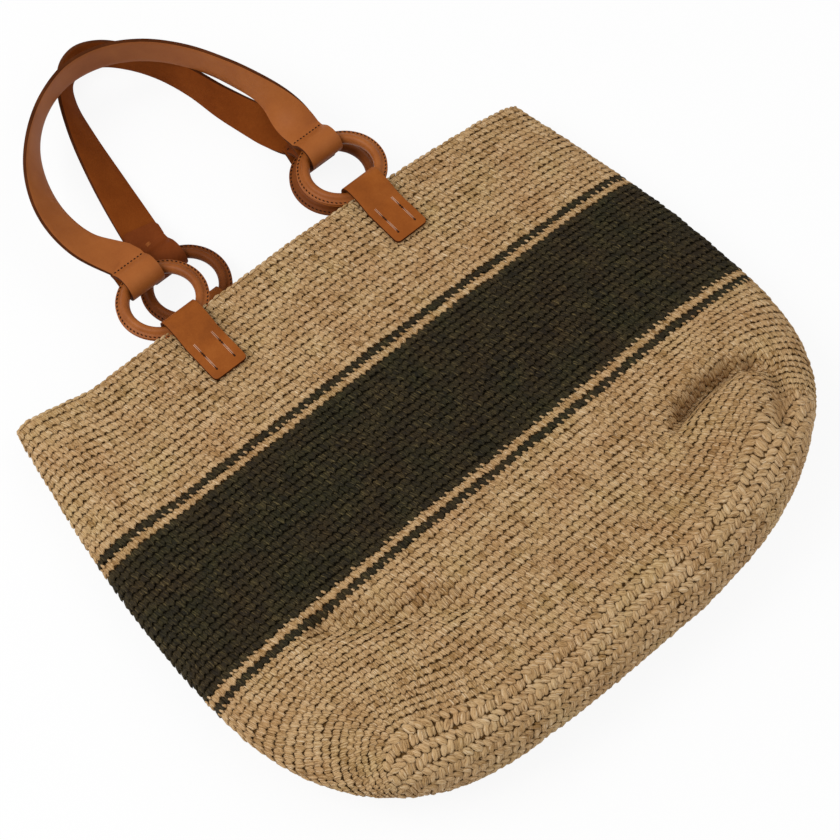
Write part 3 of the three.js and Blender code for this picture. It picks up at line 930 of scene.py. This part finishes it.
for name, h in handles.items():
    tilt = h["tilt"]
    h["outward"] = np.array([0, math.cos(tilt), math.sin(tilt)])
    h["normal"] = np.array([0, -math.sin(tilt), math.cos(tilt)])
    h["end"] = np.array(h["axis"]) + 2 * axis_radius * h["outward"][1:]
    h["slope"] = math.atan2(foot_lift + (foot_loft if h["face"] > 0 else 0.0), tab_length)
    print(name, "strap loops at", h["end"].round(2), "tab slope", round(math.degrees(h["slope"]), 2))

# %% [markdown]
# ## Leather strips
# Tabs and straps are cut from one thickness of leather. A strip starts as a grid, is laid along a line of
# stations with a place and a sideways direction each, and gets its thickness from Solidify and its
# rounded cut edges from Bevel. Solidify gives the flesh side and the edge their own finishes.

# %% Lay a strip along stations
across_steps, edge_rounding, corner_share = 6, 0.55, 0.9


def leather_strip(name, places, sideways, halves, thickness, finishes):
    """A strip in millimetres, with finishes for its face, its back and its cut edge."""
    last = len(places) - 1
    grid = dict(x_subdivisions=last, y_subdivisions=across_steps, size=2)
    obj = start_piece(name, bpy.ops.mesh.primitive_grid_add, **grid)
    flat = points_of(obj)
    station = np.clip(np.round((flat[:, 0] + 1) / 2 * last).astype(int), 0, last)
    laid = places[station] + sideways[station] * (flat[:, 1] * halves[station])[:, None]
    place_points(obj.data, laid)
    obj.data.update()
    for finish in finishes:
        obj.data.materials.append(leathers[finish])
    solid = dict(thickness=thickness * MM, offset=0.0, use_even_offset=False)
    apply_modifier(obj, "SOLIDIFY", material_offset=1, material_offset_rim=2, **solid)
    bevel = dict(limit_method="ANGLE", angle_limit=math.radians(50))
    apply_modifier(obj, "BEVEL", width=edge_rounding * MM, segments=2, **bevel)
    bpy.ops.object.shade_smooth_by_angle(angle=math.radians(40))
    return obj


def corner_cut(distance, corner):
    """How much narrower a strip with rounded corners is, at distances from its end."""
    inside = np.clip(1 - distance / corner, 0, 1)
    return corner * (1 - np.sqrt(1 - inside * inside)) * corner_share


# %% The path of a folded loop
def loop_path(radius, leaf, neck, end, turn_steps=20):
    """Along and up, from one leaf to the loop, round it and back along the other leaf."""
    shoulder = [
        (neck, leaf),
        (neck * 0.7, leaf + (radius - leaf) * 0.42),
        (neck * 0.38, leaf + (radius - leaf) * 0.84),
    ]
    path = [(end, -leaf)] + [(a, -u) for a, u in shoulder]
    for i in range(turn_steps + 1):
        angle = -math.pi / 2 - math.pi * i / turn_steps
        path.append((radius * math.cos(angle), radius * math.sin(angle)))
    return np.array(path + shoulder[::-1] + [(end, leaf)])


def smooth_path(points, step, fine_step=0.25, width=17):
    """A path through the points at even steps, rounded as leather rounds its bends."""
    run = run_along(points)
    line = sample(points, run, np.arange(0, run[-1], fine_step))
    kernel = np.hanning(width + 2)[1:-1]
    kernel /= kernel.sum()
    padded = np.pad(line, ((width // 2, width // 2), (0, 0)), "edge")
    line = np.stack([np.convolve(column, kernel, "valid") for column in padded.T], axis=1)
    line[0], line[-1] = points[0], points[-1]
    run = run_along(line)
    return sample(line, run, np.linspace(0, run[-1], int(run[-1] / step) + 1))


# %% [markdown]
# ## Covered rings
# A ring is a cord core with leather folded over it and sewn flat along the outer edge. The section is
# drawn as a circle, pressed into a dome with a flange, and spun once round the ring's own axis. The seam
# is short slanting threads on both sides of the flange.

# %% The section of a ring
flange_start = ring_radius - ring_flange
dome_middle = (ring_hole / 2 + flange_start) / 2
dome_half = flange_start - dome_middle
flange = [(ring_radius, 1.1), (ring_radius - 0.35, 1.42)]
flange += [(flange_start + 1.2, 1.46), (flange_start + 0.3, 1.7)]
slit = [(ring_radius - 0.5, -0.18), (ring_radius - 0.5, 0.18)]
dome = [
    (dome_middle + dome_half * math.cos(a), ring_height / 2 * math.sin(a))
    for a in np.radians(np.linspace(33, 327, 29))
]
ring_section = flange + dome + [(r, -height) for r, height in reversed(flange)] + slit
print("ring section points:", len(ring_section))


# %% Spin a ring
def spin_ring(name, section, material, steps=96):
    """A ring about its own axis from a section of (radius, height) in millimetres."""
    obj = start_piece(name, bpy.ops.mesh.primitive_circle_add, vertices=len(section), radius=1)
    place_points(obj.data, np.array([(radius, 0, height) for radius, height in section]))
    turn = dict(angle=2 * math.pi, center=(0, 0, 0), axis=(0, 0, 1))
    in_edit_mode(
        obj,
        lambda: bpy.ops.mesh.spin(steps=steps, **turn),
        lambda: bpy.ops.mesh.remove_doubles(threshold=0.00001),
        lambda: bpy.ops.mesh.normals_make_consistent(inside=False),
    )
    bpy.ops.object.shade_smooth_by_angle(angle=math.radians(60))
    obj.data.materials.append(material)
    return obj


# %% Stitches of thread
def thread_copies(name, marks, length, width, finish, sides=6, flat=0.9):
    """Threads at marks of (place, heading, up), each a strand that dips into the leather at its ends."""
    top, foot = (0, -length / 2, 0), (0, length / 2, 0)
    points, triangles, _ = strand_piece(top, foot, width, width * flat, sides, 0.8, 0.8)
    places, headings, ups = (np.array(values)[:, None] for values in zip(*marks))
    moved = places + np.cross(headings, ups) * points[None, :, :1]
    moved = moved + headings * points[None, :, 1:2] + ups * points[None, :, 2:]
    moved = moved.reshape(-1, 3)
    return mesh_of_copies(name, moved, copied_faces(moved, triangles), leathers[finish])


# %% Place the rings
seam_radius, seam_height, seam_pitch = flange_start + 1.75, 1.55, 3.1
seam_count = int(2 * math.pi * seam_radius / seam_pitch)
seam_run, seam_slant = 0.96, 0.28
ring_marks = []
for up in (1, -1):
    for angle in np.arange(seam_count) * 2 * math.pi / seam_count:
        radial = np.array([math.cos(angle), math.sin(angle), 0.0])
        tangent = np.array([-math.sin(angle), math.cos(angle), 0.0])
        upward = np.array([0, 0, float(up)])
        place = radial * seam_radius + upward * seam_height
        ring_marks.append((place, tangent * seam_run + radial * seam_slant * up, upward))
for name, h, side in four_rings:
    ring = f"{name}_ring"
    hinge = Matrix.Translation(Vector((h["x"][side], *h["axis"])) * MM)
    turn = Matrix.Rotation(h["tilt"], 4, "X")
    place = hinge @ turn @ Matrix.Translation((0, axis_radius * MM, 0))
    # The rear rings are the same leather as the front ones, painted darker: painted shade.
    finish = "ring_leather" if h["face"] > 0 else "ring_leather_painted_shade"
    cover = spin_ring(f"{name}_covered_ring", ring_section, leathers[finish])
    cover.data.transform(place)
    finish_piece(cover, ring, [f"{ring}_cover", f"{ring}_core"])
    seam = thread_copies(f"{ring}_seam", ring_marks, 2.2, 1.05, "dark_thread_and_painted_shade", sides=5)
    seam.data.transform(place)
    finish_piece(seam, ring)

# %% [markdown]
# ## Tabs
# A tab is one strip that hugs the wall on both faces and folds over the ring. Its two ends have rounded
# corners, and it is held by two rows of long hand stitches in a paler thread, which press a slot into the
# leather. The slot and the stitch holes are flat dark strands on the surface: painted shade.

# %% Fold the tabs
tab_leaf = wall / 2 + seat_gap + tab_thick / 2
tab_neck, tab_step = 20.0, 1.6


def tab_place(h, side, along, up, across=0.0):
    """A point of a tab, from its own frame on the ring's hinge to the bag's."""
    y, z = -along, up * h["face"]
    cos, sin = math.cos(-h["slope"]), math.sin(-h["slope"])
    hinge_y, hinge_z = h["axis"]
    return np.array([h["x"][side] + across, hinge_y + y * cos - z * sin, hinge_z + y * sin + z * cos])


straight = tab_length - tab_corner
bare = loop_path(loop_inner + tab_thick / 2, tab_leaf, tab_neck, straight)
corner_ends = straight + tab_corner * np.sin(np.linspace(0, math.pi / 2, 7))[1:]
first_end = np.stack([corner_ends[::-1], np.full(6, -tab_leaf)], axis=1)
last_end = np.stack([corner_ends, np.full(6, tab_leaf)], axis=1)
tab_path = np.concatenate([first_end, smooth_path(bare, tab_step), last_end])
tab_halves = strap_half - corner_cut(tab_length - tab_path[:, 0], tab_corner)
tab_finishes = ["tan_leather", "strap_flesh", "cut_edge"]
for name, h, side in four_rings:
    places = np.array([tab_place(h, side, a, u) for a, u in tab_path])
    print(f"{name} tab cut to {run_along(places)[-1]:.0f} mm")
    # The rear tabs face the other way, so their stations run backwards.
    order = slice(None, None, h["face"])
    sideways = np.tile([1.0, 0, 0], (len(places), 1))
    strip = places[order], sideways, tab_halves[order]
    tab = leather_strip(f"{name}_folded_tab", *strip, tab_thick, tab_finishes)
    finish_piece(tab, "bag", [f"{name}_tab"])

# %% Sew the tabs
tab_top = tab_leaf + tab_thick / 2
row_half, thread_half, thread_proud, hole_past = 7.6, 0.45, 0.05, 0.4
stitch_spans = [(15.5, 28.6), (31.2, 44.0)]


def tab_mark(h, side, along, across, face_up, proud=0.0):
    """The place, heading and upward direction of a stitch on a tab."""
    middle = tab_place(h, side, along, face_up * (tab_top + proud), across)
    surface = tab_place(h, side, along, face_up * tab_top, across)
    ahead = tab_place(h, side, along + 1, face_up * tab_top, across)
    above = tab_place(h, side, along, face_up * (tab_top + 1), across)
    return middle, ahead - surface, above - surface


for name, h, side in four_rings:
    threads, slots, holes = [], [], []
    for face_up in (1, -1):
        for across in (-row_half, row_half):
            for start, end in stitch_spans:
                middle = (start + end) / 2
                slots.append(tab_mark(h, side, middle, across, face_up))
                for twin in (-thread_half, thread_half):
                    threads.append(tab_mark(h, side, middle, across + twin, face_up, thread_proud))
                for hole in (start - hole_past, end + hole_past):
                    holes.append(tab_mark(h, side, hole, across, face_up))
    # The slots and the holes are flat dark strands on the leather: painted shade of the recesses.
    for sewn in (
        thread_copies(f"{name}_tab_thread", threads, 12.4, 0.7, "pale_thread"),
        thread_copies(f"{name}_tab_slots", slots, 13.6, 2.0, "dark_thread_and_painted_shade", flat=0.2),
        thread_copies(f"{name}_tab_holes", holes, 2.0, 1.7, "dark_thread_and_painted_shade", sides=8, flat=0.3),
    ):
        finish_piece(sewn, "bag")

# %% [markdown]
# ## Straps
# A strap is one long strip. It starts with a tail, goes round the left ring, rises in the arch of the
# handle, goes round the right ring and ends in a second tail. Both straps turn up on their edge towards
# the top of the arch: the front one shows its grain there and the rear one its flesh side. The rear
# strap's left tail is longer and is held by a knot.

# %% Stations of the arches
# Each station gives across and rise as shares, the height of the lower edge and the lean in degrees.
front_arch = [
    (-1.177, 0.2, 27.5, 25),
    (-1.205, 0.415, 26.5, 43),
    (-1.095, 0.63, 26.5, 64),
    (-0.875, 0.815, 28, 85),
    (-0.577, 0.95, 28.8, 95),
    (-0.235, 1.018, 28.8, 97),
    (0.113, 0.993, 28.8, 97),
    (0.433, 0.885, 28.8, 96),
    (0.694, 0.71, 28, 93),
    (0.878, 0.49, 27, 87),
    (0.98, 0.25, 27.5, 71),
]
rear_arch = [
    (-0.835, 0.38, 2.5, 27),
    (-0.678, 0.67, 0.7, 51),
    (-0.515, 0.867, 0.6, 71),
    (-0.332, 0.97, 0.6, 83),
    (-0.126, 0.995, 0.6, 85),
    (0.088, 0.955, 0.6, 85),
    (0.292, 0.857, 0.6, 85),
    (0.467, 0.725, 0.6, 82),
    (0.598, 0.555, 0.6, 77),
    (0.69, 0.37, 0.6, 66),
    (0.818, 0.178, 2.5, 48),
]
handles["front"].update(arch=front_arch, centre=0.5, half=80.5, drop=160.0)
handles["rear"].update(arch=rear_arch, centre=13.7, half=68.0, drop=177.0)
strap_tail, strap_neck, ply_gap, strap_step, arch_samples = 17.0, 12.0, 0.4, 1.5, 150
long_tail, long_tail_corner = 13.0, 5.0
strap_leaf = (strap_thick + ply_gap) / 2
strap_loop = loop_path(loop_inner + strap_thick / 2, strap_leaf, strap_neck, strap_tail)
strap_loop = smooth_path(strap_loop, strap_step)


# %% Follow a strap
def tail_over(arch, along, sideways):
    """Stations of a long tail that lies on the start of the arch, from its end back to the loop."""
    over = arch + np.cross(along, sideways) * 2 * strap_leaf
    run = run_along(over)
    back = long_tail - long_tail_corner * (1 - np.sin(np.linspace(math.pi / 2, 0, 7)))
    back = np.concatenate([back, np.arange(back[-1] - strap_step, 0, -strap_step)])
    return sample(over, run, back), sample(sideways, run, back)


def strap_stations(h):
    """Places and sideways directions along a strap, from the left tail to the right one."""

    def loop_at(x):
        start = np.array([x, *h["end"]])
        return np.array([start + h["outward"] * a + h["normal"] * h["face"] * u for a, u in strap_loop])

    left = loop_at(h["centre"] - h["half"])
    right = loop_at(h["centre"] + h["half"])[::-1]
    neck_y = h["end"][0] + strap_tail * h["outward"][1]
    stations = [(*left[-1], 0.0)]
    for across, rise, low, lean in h["arch"]:
        lean = math.radians(lean)
        x, y = h["centre"] + across * h["half"], neck_y + rise * (h["drop"] - strap_tail)
        z = low + strap_half * math.sin(lean) + strap_thick / 2 * math.cos(lean)
        stations.append((x, y, z, lean))
    curve = curve_through(stations + [(*right[0], 0.0)], arch_samples)[1:-1]
    arch, lean = curve[:, :3], np.maximum(curve[:, 3:], 0)
    along = unit(np.gradient(arch, axis=0))
    flat = unit(np.cross([0, 0, 1.0], along))
    arch_side = flat * np.cos(lean) + np.cross(along, flat) * np.sin(lean)
    loop_side = np.tile([1.0, 0, 0], (len(left), 1))
    places, sideways = [left, arch, right], [-loop_side, arch_side, loop_side]
    if h["face"] < 0:
        tail, tail_side = tail_over(arch, along, arch_side)
        places, sideways = [tail, *places], [tail_side, *sideways]
    return np.concatenate(places), np.concatenate(sideways)


# %% Lay the straps
strap_finishes = {
    "front": ["strap_grain", "strap_flesh", "cut_edge"],
    "rear": ["strap_flesh", "rear_grain_painted_shade", "cut_edge"],
}
narrowing, narrow_run, narrow_stations = 0.28, 9.0, 8
for name, h in handles.items():
    h["stations"] = strap_stations(h)
    places, sideways = h["stations"]
    run = run_along(places)
    print(f"{name} strap cut to {run[-1]:.0f} mm")
    halves = np.full(len(places), strap_half)
    if name == "rear":
        for i in range(narrow_stations):
            halves[-1 - i] *= 1 - narrowing * max(0.0, 1 - i * strap_step / narrow_run) ** 2
        halves -= corner_cut(run, long_tail_corner)
    strip = places, sideways, halves
    strap = leather_strip(f"{name}_strap_strip", *strip, strap_thick, strap_finishes[name])
    finish_piece(strap, f"{name}_strap", [f"{name}_strap"])

# %% [markdown]
# ## Sewing the straps
# A straight seam across each loop holds the tail to the strap. The long tail has no seam: a small knot of
# three threads goes through it.

# %% Sew the strap loops
seam_along, seam_half, seam_stitches = 13.0, 11.2, 9
seam_level = strap_leaf + strap_thick / 2 - 0.1
for name, h in handles.items():
    marks = []
    for side in (-1, 1):
        if name == "rear" and side < 0:
            continue
        middle = np.array([h["centre"] + side * h["half"], *h["end"]]) + h["outward"] * seam_along
        for face_up in (1, -1):
            for across in np.linspace(-seam_half, seam_half, seam_stitches):
                place = middle + h["normal"] * face_up * seam_level + np.array([across, 0, 0])
                marks.append((place, np.array([1.0, 0, 0]), h["normal"] * face_up))
    seam = thread_copies(f"{name}_strap_seams", marks, 2.0, 1.6, "dark_thread_and_painted_shade")
    finish_piece(seam, f"{name}_strap")

# %% Knot the long tail
knot_from_end = 14.0
places, sideways = handles["rear"]["stations"]
knot = int(np.linalg.norm(places[:40] - places[0], axis=1).searchsorted(knot_from_end))
ahead = unit(places[knot + 1] - places[knot])
knot_up = np.cross(sideways[knot], ahead)
marks = []
for step, slant in ((-0.9, 0.12), (0.0, 0.2), (0.9, 0.16)):
    heading = sideways[knot] * math.cos(slant) + ahead * math.sin(slant)
    marks.append((places[knot] + knot_up * strap_thick / 2 + ahead * step, heading, knot_up))
knot_thread = thread_copies("rear_strap_knot", marks, 4.4, 1.0, "strap_grain")
finish_piece(knot_thread, "rear_strap")

# %% [markdown]
# ## Floor, light and camera
# The bag lies on a plain pale floor under soft studio light. The floor turns white for the camera and
# still catches the bag's own soft shadow. The camera stands where the photographer stood, found by
# matching the rim, the base and the rings.

# %% Floor
plane, floor_glow = dict(size=12, location=(0, 0, -0.0006)), 0.9
floor = start_piece("studio_floor", bpy.ops.mesh.primitive_plane_add, **plane)
floor_paint, floor_tree, floor_shader = new_material("floor_paint", 0.9, 0.1)
floor_shader.inputs["Base Color"].default_value = (0.86, 0.86, 0.86, 1)
lit = add_node(floor_tree, "ShaderNodeEmission", Color=(1, 1, 1, 1))
rays = floor_tree.nodes.new("ShaderNodeLightPath").outputs
seen = add_math(floor_tree, "MAXIMUM", rays["Is Camera Ray"], rays["Is Glossy Ray"])
seen = add_math(floor_tree, "MAXIMUM", seen, rays["Is Transmission Ray"])
blend = floor_tree.nodes.new("ShaderNodeMixShader")
glow = add_math(floor_tree, "MULTIPLY", seen, floor_glow)
blend_inputs = (glow, floor_shader.outputs[0], lit.outputs[0])
for socket, value in zip(blend.inputs, blend_inputs):
    feed(floor_tree, socket, value)
feed(floor_tree, floor_tree.nodes["Material Output"].inputs["Surface"], blend.outputs[0])
floor.data.materials.append(floor_paint)
print("floor laid")

# %% Light
world = bpy.data.worlds.new("studio")
bpy.context.scene.world = world
world.use_nodes = True
sky = world.node_tree.nodes["Background"].inputs
sky["Color"].default_value = (1, 1, 1, 1)
sky["Strength"].default_value = 0.55
for lamp_name, place, size, power in (
    ("key_lamp", (-1.35, 0.75, 1.75), 1.4, 32.0),
    ("fill_lamp", (1.3, -0.9, 1.7), 2.0, 12.0),
):
    lamp_data = bpy.data.lights.new(lamp_name, "AREA")
    lamp_data.size = size
    lamp_data.energy = power
    lamp = bpy.data.objects.new(lamp_name, lamp_data)
    lamp.location = place
    lamp.rotation_euler = (-Vector(place)).to_track_quat("-Z", "Y").to_euler()
    bpy.context.scene.collection.objects.link(lamp)
print("lamps set")

# %% Camera
camera_place = (-0.3933, -0.52835, 1.2264)
camera_data = bpy.data.cameras.new("camera")
camera_data.lens = 85.71
camera_data.sensor_width = 36.0
camera_data.clip_end = 50.0
camera = bpy.data.objects.new("camera", camera_data)
right = Vector((0.749, -0.662, 0.0)).normalized()
ahead = Vector((0.290, 0.329, -0.899)).normalized()
above = right.cross(ahead).normalized()
right = ahead.cross(above).normalized()
turned = Matrix((right, above, -ahead)).transposed().to_4x4()
camera.matrix_world = Matrix.Translation(camera_place) @ turned
bpy.context.scene.collection.objects.link(camera)
bpy.context.scene.camera = camera
bpy.context.scene.view_settings.view_transform = "Standard"
print("camera set")
